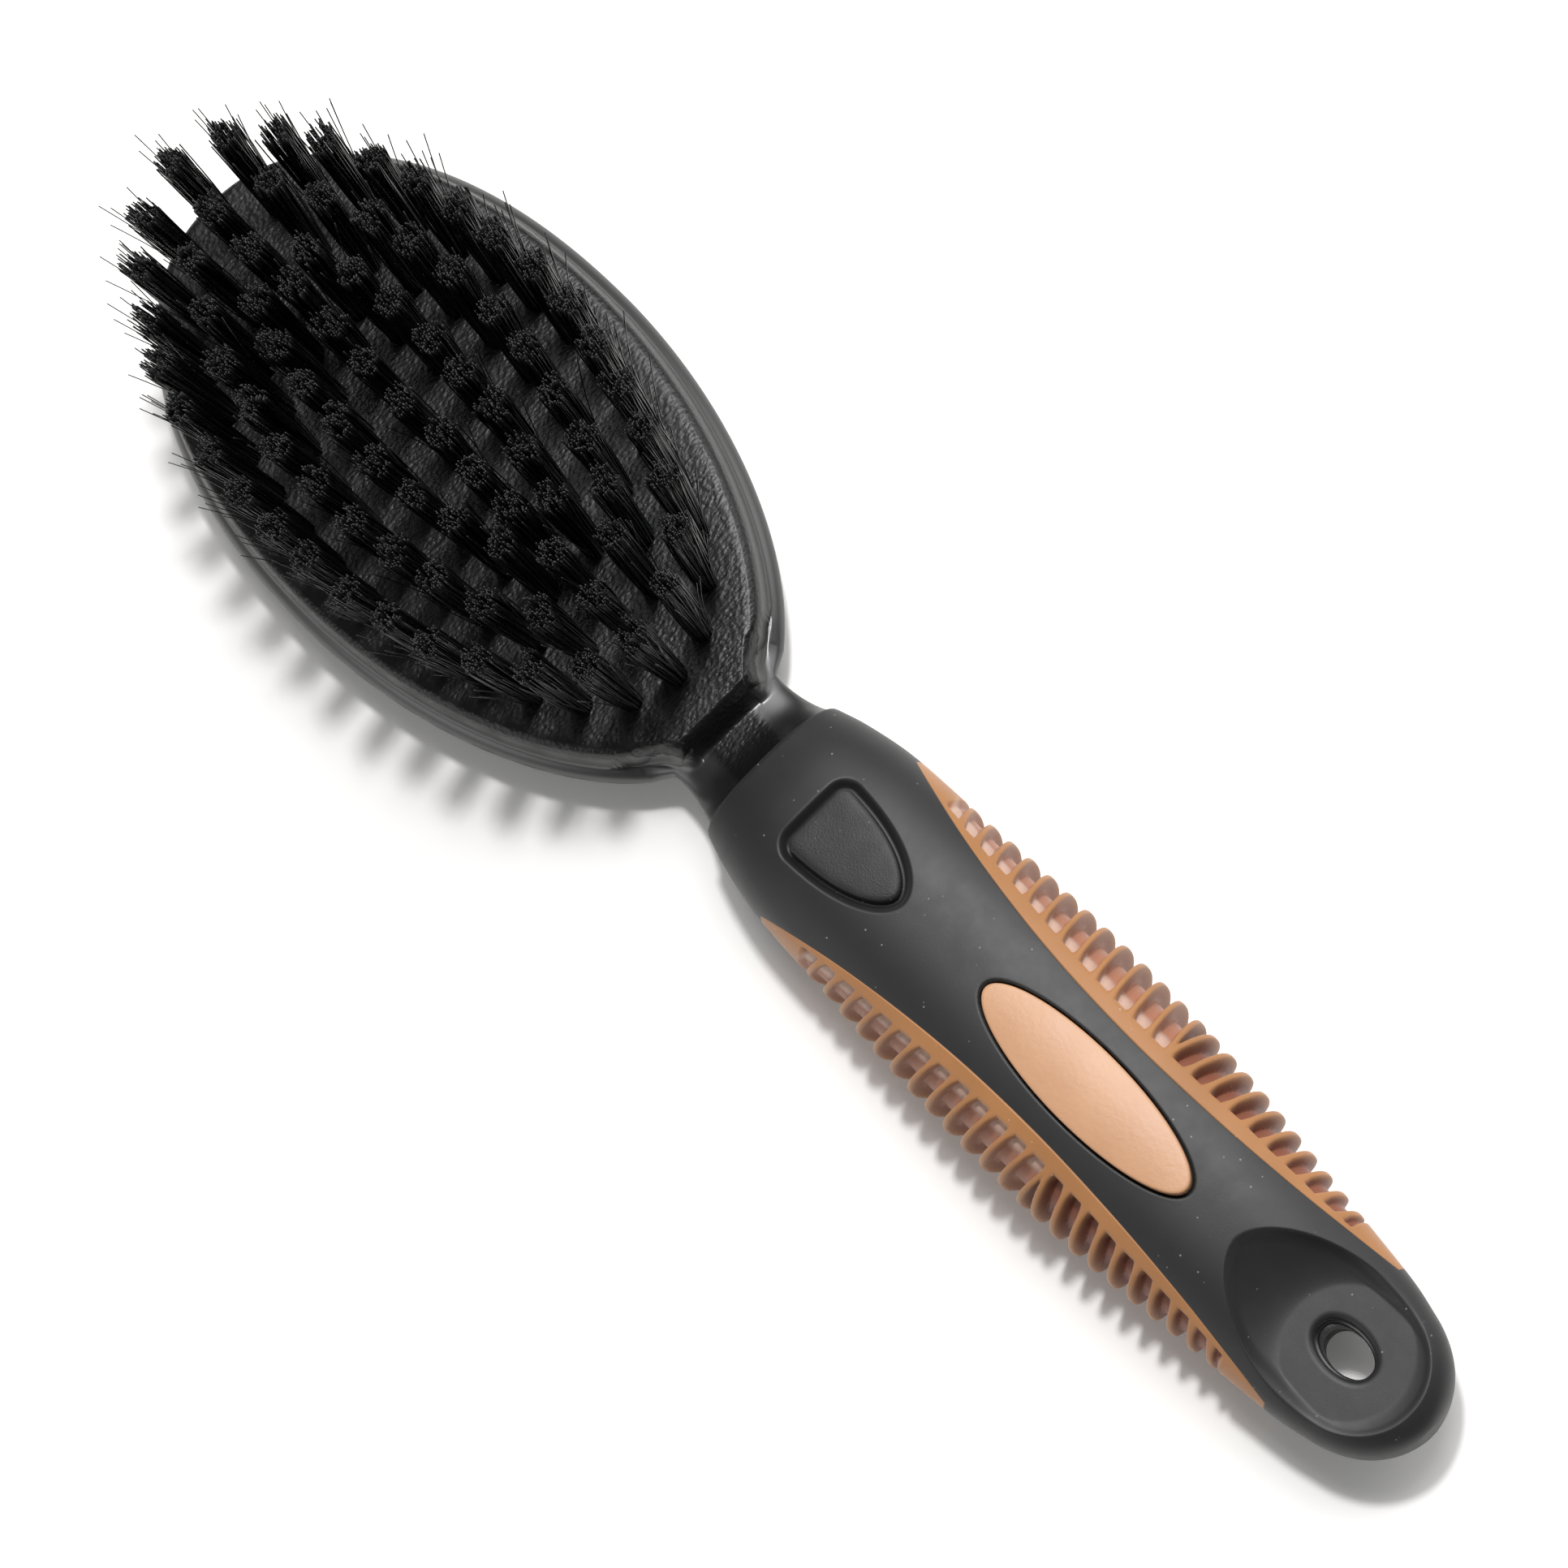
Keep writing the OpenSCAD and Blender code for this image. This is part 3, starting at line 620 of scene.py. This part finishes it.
def handle_sleeve():
    body = np.arange(COLLAR_X + 0.9, TAIL_X - TAIL_ROUND, 0.2)
    tail = TAIL_X - TAIL_ROUND + TAIL_ROUND * np.sin(np.linspace(0, math.pi / 2, 70))
    lead = COLLAR_X + np.array([0.0, 0.0, 0.03, 0.12, 0.26, 0.45, 0.66])
    shrink = np.concatenate([[2.6, 0.55, 0.34, 0.17, 0.06, 0.01, 0], np.zeros(len(body) + len(tail))])
    x = np.concatenate([lead, body, tail])
    w, h = half_w(x) - shrink, half_h(x) - shrink
    room = side_room(x)
    strip = np.where(room > 0.26, w - room, w - 0.25)
    held = smooth((x - GRIP_X[0]) / 1.5) * smooth((GRIP_X[1] - x) / 1.5)
    sink = np.minimum(RECESS, 0.8 * room) * held
    a = angle_at(strip, w)
    top = section(x, a, math.pi - a, 150, w, h)
    top[..., 2] -= sleeve_dips(top[..., 0], top[..., 1], top[..., 2])
    b = angle_at(strip, w - sink)
    far = section(x, math.pi - b, math.pi + b, 10, w - sink, h - sink)[:, 1:-1]
    bottom = section(x, math.pi + a, 2 * math.pi - a, 70, w, h)
    near = section(x, -b, b, 10, w - sink, h - sink)[:, 1:-1]
    rings = np.concatenate([top, far, bottom, near], 1)
    # A small torn gate mark at the very end.
    scar = np.linalg.norm((rings - (TAIL_X - 0.3, -0.2, 5.2)) / (1.3, 1.6, 1.2), axis=2)
    rings[..., 0] -= 0.8 * (1 - smooth(scar / 1.0)) * (0.75 + 0.25 * np.sin(9 * rings[..., 1] + 7 * rings[..., 2]))
    n = rings.shape[1]
    obj = make_piece("soft_touch_sleeve", rings.reshape(-1, 3), ring_faces(len(x), n) + caps(len(x), n),
                     [soft_touch()], ["handle_sleeve"], merge=True)
    # The hanging hole goes right through.
    turns = np.linspace(0, 2 * math.pi, 97)[:-1]
    ex, ey = stadium(0.4, turns)
    cutter_mesh = bpy.data.meshes.new("hole_cutter")
    points = np.concatenate([np.stack([ex, ey, np.full(96, z)], 1) for z in (-2.0, 24.0)])
    cutter_mesh.from_pydata((points * MM).tolist(), [], ring_faces(2, 96) + caps(2, 96))
    cutter = bpy.data.objects.new("hole_cutter", cutter_mesh)
    bpy.context.scene.collection.objects.link(cutter)
    cut = obj.modifiers.new("hole", "BOOLEAN")
    cut.object = cutter
    cut.operation = "DIFFERENCE"
    cut.solver = "EXACT"
    bpy.context.view_layer.update()
    done = bpy.data.meshes.new_from_object(obj.evaluated_get(bpy.context.evaluated_depsgraph_get()))
    obj.modifiers.clear()
    obj.data = done
    bpy.data.objects.remove(cutter)
    return obj


def grip(side, node, mat):
    """Moulded side grip: a plain band around a row of thin fins over a lower floor."""
    x = np.linspace(GRIP_X[0], GRIP_X[1], 720)
    w, h, room = half_w(x), half_h(x), side_room(x)
    strip = w - room
    a = angle_at(strip, w)
    steps = 84
    outer = section(x, a, -a, steps, w, h)
    y, z = outer[..., 1], outer[..., 2] - mid_z(x)[:, None]
    ny = (np.abs(y) / w[:, None]) ** (ROUNDNESS - 1) / w[:, None]
    nz = np.sign(z) * (np.abs(z) / h[:, None]) ** (ROUNDNESS - 1) / h[:, None]
    length = np.hypot(ny, nz)
    run = np.cumsum(np.hypot(np.diff(y, axis=1, prepend=y[:, :1]), np.diff(z, axis=1, prepend=z[:, :1])), 1)
    edge = np.minimum(run, run[:, -1:] - run)
    rise = np.minimum(FIN_RISE, 0.35 * room)[:, None]
    band = np.minimum(BAND_W, 0.35 * room)[:, None]
    u = np.linspace(0, 1, steps)[None]
    bow = 1 - np.sin(math.pi * u)
    floor = rise * smooth((edge - band + 0.1) / np.maximum(0.75 * rise / FIN_RISE, 0.05))
    floor = floor * (smooth(x - 17.3) * smooth((91.6 - x) / 1.2))[:, None]
    fin = np.full(floor.shape, 9.0)
    pitch = (HEAD_FIN_X[1] - HEAD_FIN_X[0]) / (HEAD_FINS - 1)
    stop = math.asin(1 - (TAIL_FIN_X[0] - HEAD_FIN_X[1]) / (TAIL_SLANT - HEAD_SLANT)) / math.pi
    station = x[:, None]

    fillet = 0.38 * np.exp(-(((edge - band) / 0.9).clip(0)) ** 2)

    def crest(centre, wide=0.6):
        q = np.abs(station - centre) / (wide + fillet)
        return rise * smooth((q - 0.55) / 0.75) + 0.28 * np.minimum(q, 1) ** 2 * rise / FIN_RISE

    for i in range(HEAD_FINS):
        one = crest(HEAD_FIN_X[0] + pitch * i - HEAD_SLANT * bow)
        if i == HEAD_FINS - 1:
            one = one + 9 * smooth((stop - np.minimum(u, 1 - u)) / 0.03)
        fin = np.minimum(fin, one)
    for i in range(TAIL_FINS):
        centre = TAIL_FIN_X[0] + (TAIL_FIN_X[1] - TAIL_FIN_X[0]) * i / (TAIL_FINS - 1)
        fin = np.minimum(fin, crest(centre - TAIL_SLANT * bow, 0.62))
    # In the head group a soft pad fills part of each pocket beside the band.
    phase = (station + HEAD_SLANT * bow - HEAD_FIN_X[0]) / pitch
    in_group = smooth((phase + 0.9) / 0.3) * smooth((HEAD_FINS - 0.9 - phase) / 0.3)
    gap = np.sin(math.pi * (phase - np.floor(phase))).clip(0)
    reach = smooth((edge - band - 0.1) / 0.4) * (1 - smooth((edge - band - 1.5) / 2.2))
    pad = in_group * reach
    depth = np.minimum(floor - 0.9 * pad * gap ** 0.5 * rise / FIN_RISE, fin).clip(0)
    outer[..., 1] -= ny / length * depth
    outer[..., 2] -= nz / length * depth
    b = angle_at(strip, w - np.minimum(RECESS, 0.8 * room) + 0.06)
    thick = np.minimum(RECESS, 0.8 * room) - 0.06
    inner = section(x, -b, b, 14, w - thick, h - thick)
    rings = np.concatenate([outer, inner], 1)
    rings[..., 1] *= side
    n = rings.shape[1]
    low = smooth((fin - 0.5 * rise) / (0.4 * rise))
    pocket = smooth((depth / rise - 0.12) / 0.5)
    hidden = np.zeros((len(x), 14))
    # The third layer marks the tail group's deep pockets, which carry painted shade.
    layers = {"pad": np.concatenate([low * pad, hidden], 1).ravel(),
              "deep": np.concatenate([pocket * in_group, hidden], 1).ravel(),
              "painted_pit_shade": np.concatenate([pocket * (1 - in_group) * smooth((phase - 6) / 2), hidden], 1).ravel()}
    return make_piece(node + "_rubber", rings.reshape(-1, 3), ring_faces(len(x), n) + caps(len(x), n), [mat],
                      [node], layers, merge=True)


def domed(name, outline, levels, mat, node):
    """Closed domed tablet. Each level is height, inset, and how far its outline shrinks to the middle."""
    rings = []
    for z, inset, scale in levels:
        p = outline(-inset)
        centre = (p.min(0) + p.max(0)) / 2
        p = centre + (p - centre) * scale
        rings.append(np.concatenate([p, np.full((len(p), 1), z)], 1))
    n = len(rings[0])
    return make_piece(name, np.concatenate(rings), ring_faces(len(rings), n) + caps(len(rings), n), [mat], [node],
                      merge=True)


def thumb_panel():
    top = panel_high[2]
    levels = [(panel_low[2], 0, 1), (top - 0.9, 0, 1), (top - 0.62, 0.02, 1), (top - 0.42, 0.1, 1), (top - 0.28, 0.24, 1),
              (top - 0.2, 0.42, 1), (top - 0.14, 0.7, 1), (top - 0.1, 0.7, 0.9), (top - 0.06, 0.7, 0.75),
              (top - 0.03, 0.7, 0.5), (top - 0.01, 0.7, 0.25), (top, 0.7, 0.04)]
    return domed("thumb_panel_cap", shield, levels, panel_plastic(), "thumb_panel")


def oval_inlay():
    top = inlay_high[2]
    levels = [(inlay_low[2], 0, 1), (top - 0.75, 0, 1), (top - 0.6, 0.03, 1), (top - 0.5, 0.1, 1), (top - 0.43, 0.22, 1)]
    levels += [(top - 0.42 * s * s, 0.25, s) for s in (0.985, 0.94, 0.88, 0.8, 0.7, 0.6, 0.48, 0.36, 0.24, 0.12, 0.02)]
    return domed("oval_inlay_cap", inlay_outline, levels, inlay_plastic(), "oval_inlay")


# ---------------------------------------------------------------- tufts
def clusters(points, gap):
    """Centres of groups of points that lie closer together than a gap."""
    groups = []
    left = list(range(len(points)))
    while left:
        group, queue = [], [left.pop()]
        while queue:
            i = queue.pop()
            group.append(i)
            near = [j for j in left if abs(points[j] - points[i]).max() < gap]
            left = [j for j in left if j not in near]
            queue += near
        chosen = points[group]
        groups.append((chosen.min(0) + chosen.max(0)) / 2)
    return groups


def tuft_lines(node):
    """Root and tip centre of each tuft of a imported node."""
    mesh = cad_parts[node].data
    co = np.array([v.co for v in mesh.vertices]) / MM
    co = np.unique(np.round(co, 3), axis=0)
    roots = clusters(co[co[:, 2] < PLATFORM_Z - 5.5], 1.5)
    tips = clusters(co[co[:, 2] > co[:, 2].max() - 0.6], 1.5)
    lines = []
    for tip in sorted(tips, key=lambda p: (round(p[0], 1), round(p[1], 1))):
        root = min(roots, key=lambda r: np.hypot(r[0] - tip[0], r[1] - tip[1]))
        lines.append((np.array([root[0], root[1], PLATFORM_Z - 0.3]), tip))
    return lines


def filaments(roots, tips, bows, radius, segments=6, sides=4):
    """Thin bent rods from roots to tips; gives their vertices, faces and which faces are cut ends."""
    count = len(roots)
    s = np.linspace(0, 1, segments + 1)[None, :, None]
    line = roots[:, None] + (tips - roots)[:, None] * s + bows[:, None] * np.sin(math.pi * s)
    way = np.gradient(line, axis=1)
    way /= np.linalg.norm(way, axis=2, keepdims=True)
    a = np.cross(way, (0.3, 0.95, 0.1))
    a /= np.linalg.norm(a, axis=2, keepdims=True)
    b = np.cross(way, a)
    turns = np.arange(sides) * 2 * math.pi / sides
    thick = np.asarray(radius).reshape(-1, 1, 1, 1) * np.ones((count, 1, 1, 1))
    verts = line[:, :, None] + thick * (np.cos(turns)[:, None] * a[:, :, None] + np.sin(turns)[:, None] * b[:, :, None])
    one = np.array(ring_faces(segments + 1, sides) + [list(range(segments * sides, (segments + 1) * sides))])
    faces = one[None] + (np.arange(count) * (segments + 1) * sides)[:, None, None]
    ends = np.tile(np.r_[np.zeros(segments * sides), 1], count)
    return verts.reshape(-1, 3), faces.reshape(-1, sides), ends


def tuft_piece(node, rng, mats, strays):
    """A group of tufts as single filaments, with a few that have strayed."""
    roots, tips, bows, radii = [], [], [], []
    count, clumps = 112, 5
    for root, tip in tuft_lines(node):
        r = np.sqrt((np.arange(count) + 0.5) / count)
        angle = np.arange(count) * 2.399963 + rng.uniform(-0.3, 0.3, count)
        disc = np.stack([np.cos(angle), np.sin(angle), np.zeros(count)], 1) * r[:, None]
        lean = np.append(rng.uniform(-0.45, 0.45, 2), 0)
        # Filaments hang together in a few clumps, so the cut face is ragged.
        clump = ((angle % (2 * math.pi)) / (2 * math.pi) * clumps + (r > 0.6) * 2.5).astype(int) % clumps
        shift = np.concatenate([rng.normal(0, 0.22, (clumps, 2)), rng.normal(0, 0.42, (clumps, 1))], 1)[clump]
        loose = np.concatenate([rng.normal(0, 0.2, (count, 2)), rng.normal(0, 0.3, (count, 1))], 1)
        end = tip + disc * 2.05 + lean + shift + loose
        end[:, 2] -= 0.2 * r * r
        roots.append(root + disc * 1.5)
        tips.append(end)
        bows.append(np.concatenate([rng.normal(0, 0.16, (count, 2)), np.zeros((count, 1))], 1) + disc * 0.05)
        radii.append(np.full(count, 0.1))
        many = int(rng.integers(strays[0], strays[1] + 1))
        if many:
            out = (tip - (HEAD_X + 1, 0, 0))[:2]
            heading = math.atan2(out[1], out[0]) + rng.normal(0, 0.8, many)
            way = np.stack([np.cos(heading), np.sin(heading), np.zeros(many)], 1)
            throw = rng.uniform(0.6, 3.4, (many, 1))
            longer = rng.uniform(0.98, 1.1, (many, 1))
            roots.append(root + way * 1.3)
            tips.append(root + (tip - root) * longer + way * (1.6 + throw))
            bows.append(-way * rng.uniform(0.1, 0.5, (many, 1)))
            radii.append(np.full(many, 0.08))
    verts, faces, ends = filaments(np.concatenate(roots), np.concatenate(tips), np.concatenate(bows), np.concatenate(radii))
    return make_piece(node + "_filaments", verts, faces, mats, [node], face_mats=ends)


# ---------------------------------------------------------------- build
head_skin()
back_cover()
handle_sleeve()
rubber = grip_rubber()
grip(1, "grip_left", rubber)
grip(-1, "grip_right", rubber)
thumb_panel()
oval_inlay()
rng = np.random.default_rng(SEED)
bristle = [nylon("nylon_filament", rgb(9, 9, 10), rgb(17, 17, 18), 0.24), nylon("nylon_cut_end", rgb(40, 38, 40), rgb(72, 70, 72), 0.5)]
for node in sorted(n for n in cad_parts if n.startswith("tufts_")):
    outer = "outer" in node
    tuft_piece(node, rng, bristle, (4, 7) if outer else (1, 2))
wire = anchor_wire()
for node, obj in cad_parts.items():
    if node.startswith("anchors_"):
        for holder in obj.material_slots:
            holder.material = wire

# ---------------------------------------------------------------- floor, light and camera
scene = bpy.context.scene
scene.view_settings.view_transform = "Standard"

floor_mesh = bpy.data.meshes.new("studio_floor")
span = 4.0
floor_mesh.from_pydata([(-span, -span, 0), (span, -span, 0), (span, span, 0), (-span, span, 0)], [], [(0, 1, 2, 3)])
floor = bpy.data.objects.new("studio_floor", floor_mesh)
paper = Nodes("studio_paper", Specular_IOR_Level=0.0)
floor_mesh.materials.append(paper.finish(paper.mix(paper.noise(6.0), (0.93, 0.92, 0.9, 1), (0.95, 0.94, 0.92, 1)), 0.9,
                                         paper.bump(paper.noise(300.0), 0.00002, 0.2)))
scene.collection.objects.link(floor)
floor.location.z = cad_box[0].z

world = bpy.data.worlds.new("studio")
scene.world = world
world.use_nodes = True
world.node_tree.nodes["Background"].inputs["Color"].default_value = (0.97, 0.98, 1.0, 1)
world.node_tree.nodes["Background"].inputs["Strength"].default_value = 0.21


def area(name, place, aim, size, watts):
    light = bpy.data.lights.new(name, "AREA")
    light.shape = "DISK"
    light.size = size
    light.energy = watts
    obj = bpy.data.objects.new(name, light)
    obj.location = place
    obj.rotation_mode = "QUATERNION"
    obj.rotation_quaternion = (Vector(place) - Vector(aim)).to_track_quat("Z", "Y")
    scene.collection.objects.link(obj)


area("key", (-0.095, 0.225, 0.8), (0, 0, 0), 0.085, 3.9)
area("sky", (-0.4, 0.58, 1.2), (0, 0, 0), 1.05, 13.5)
area("back", (0.1, 1.5, 0.8), (0, 0, 0), 1.2, 10)
area("front", (-0.15, -1.1, 0.6), (-0.05, 0, 0), 0.8, 3.6)

LENS, TILT, FAR = 158.4, math.radians(19), 0.867
AIM = Vector((-0.00135, 0, 0.0105))
back = Vector((math.sin(TILT), 0, math.cos(TILT)))
along = Vector((math.cos(TILT), 0, -math.sin(TILT)))
left = Vector((0, 1, 0))
ROLL = math.radians(45.25)
right_way = along * math.cos(ROLL) + left * math.sin(ROLL)
up_way = left * math.cos(ROLL) - along * math.sin(ROLL)
cam = bpy.data.cameras.new("camera")
cam.lens = LENS
cam.sensor_width = 36
cam.clip_start, cam.clip_end = 0.05, 20
camera = bpy.data.objects.new("camera", cam)
camera.matrix_world = Matrix.Translation(AIM + back * FAR) @ Matrix((right_way, up_way, back)).transposed().to_4x4()
scene.collection.objects.link(camera)
scene.camera = camera
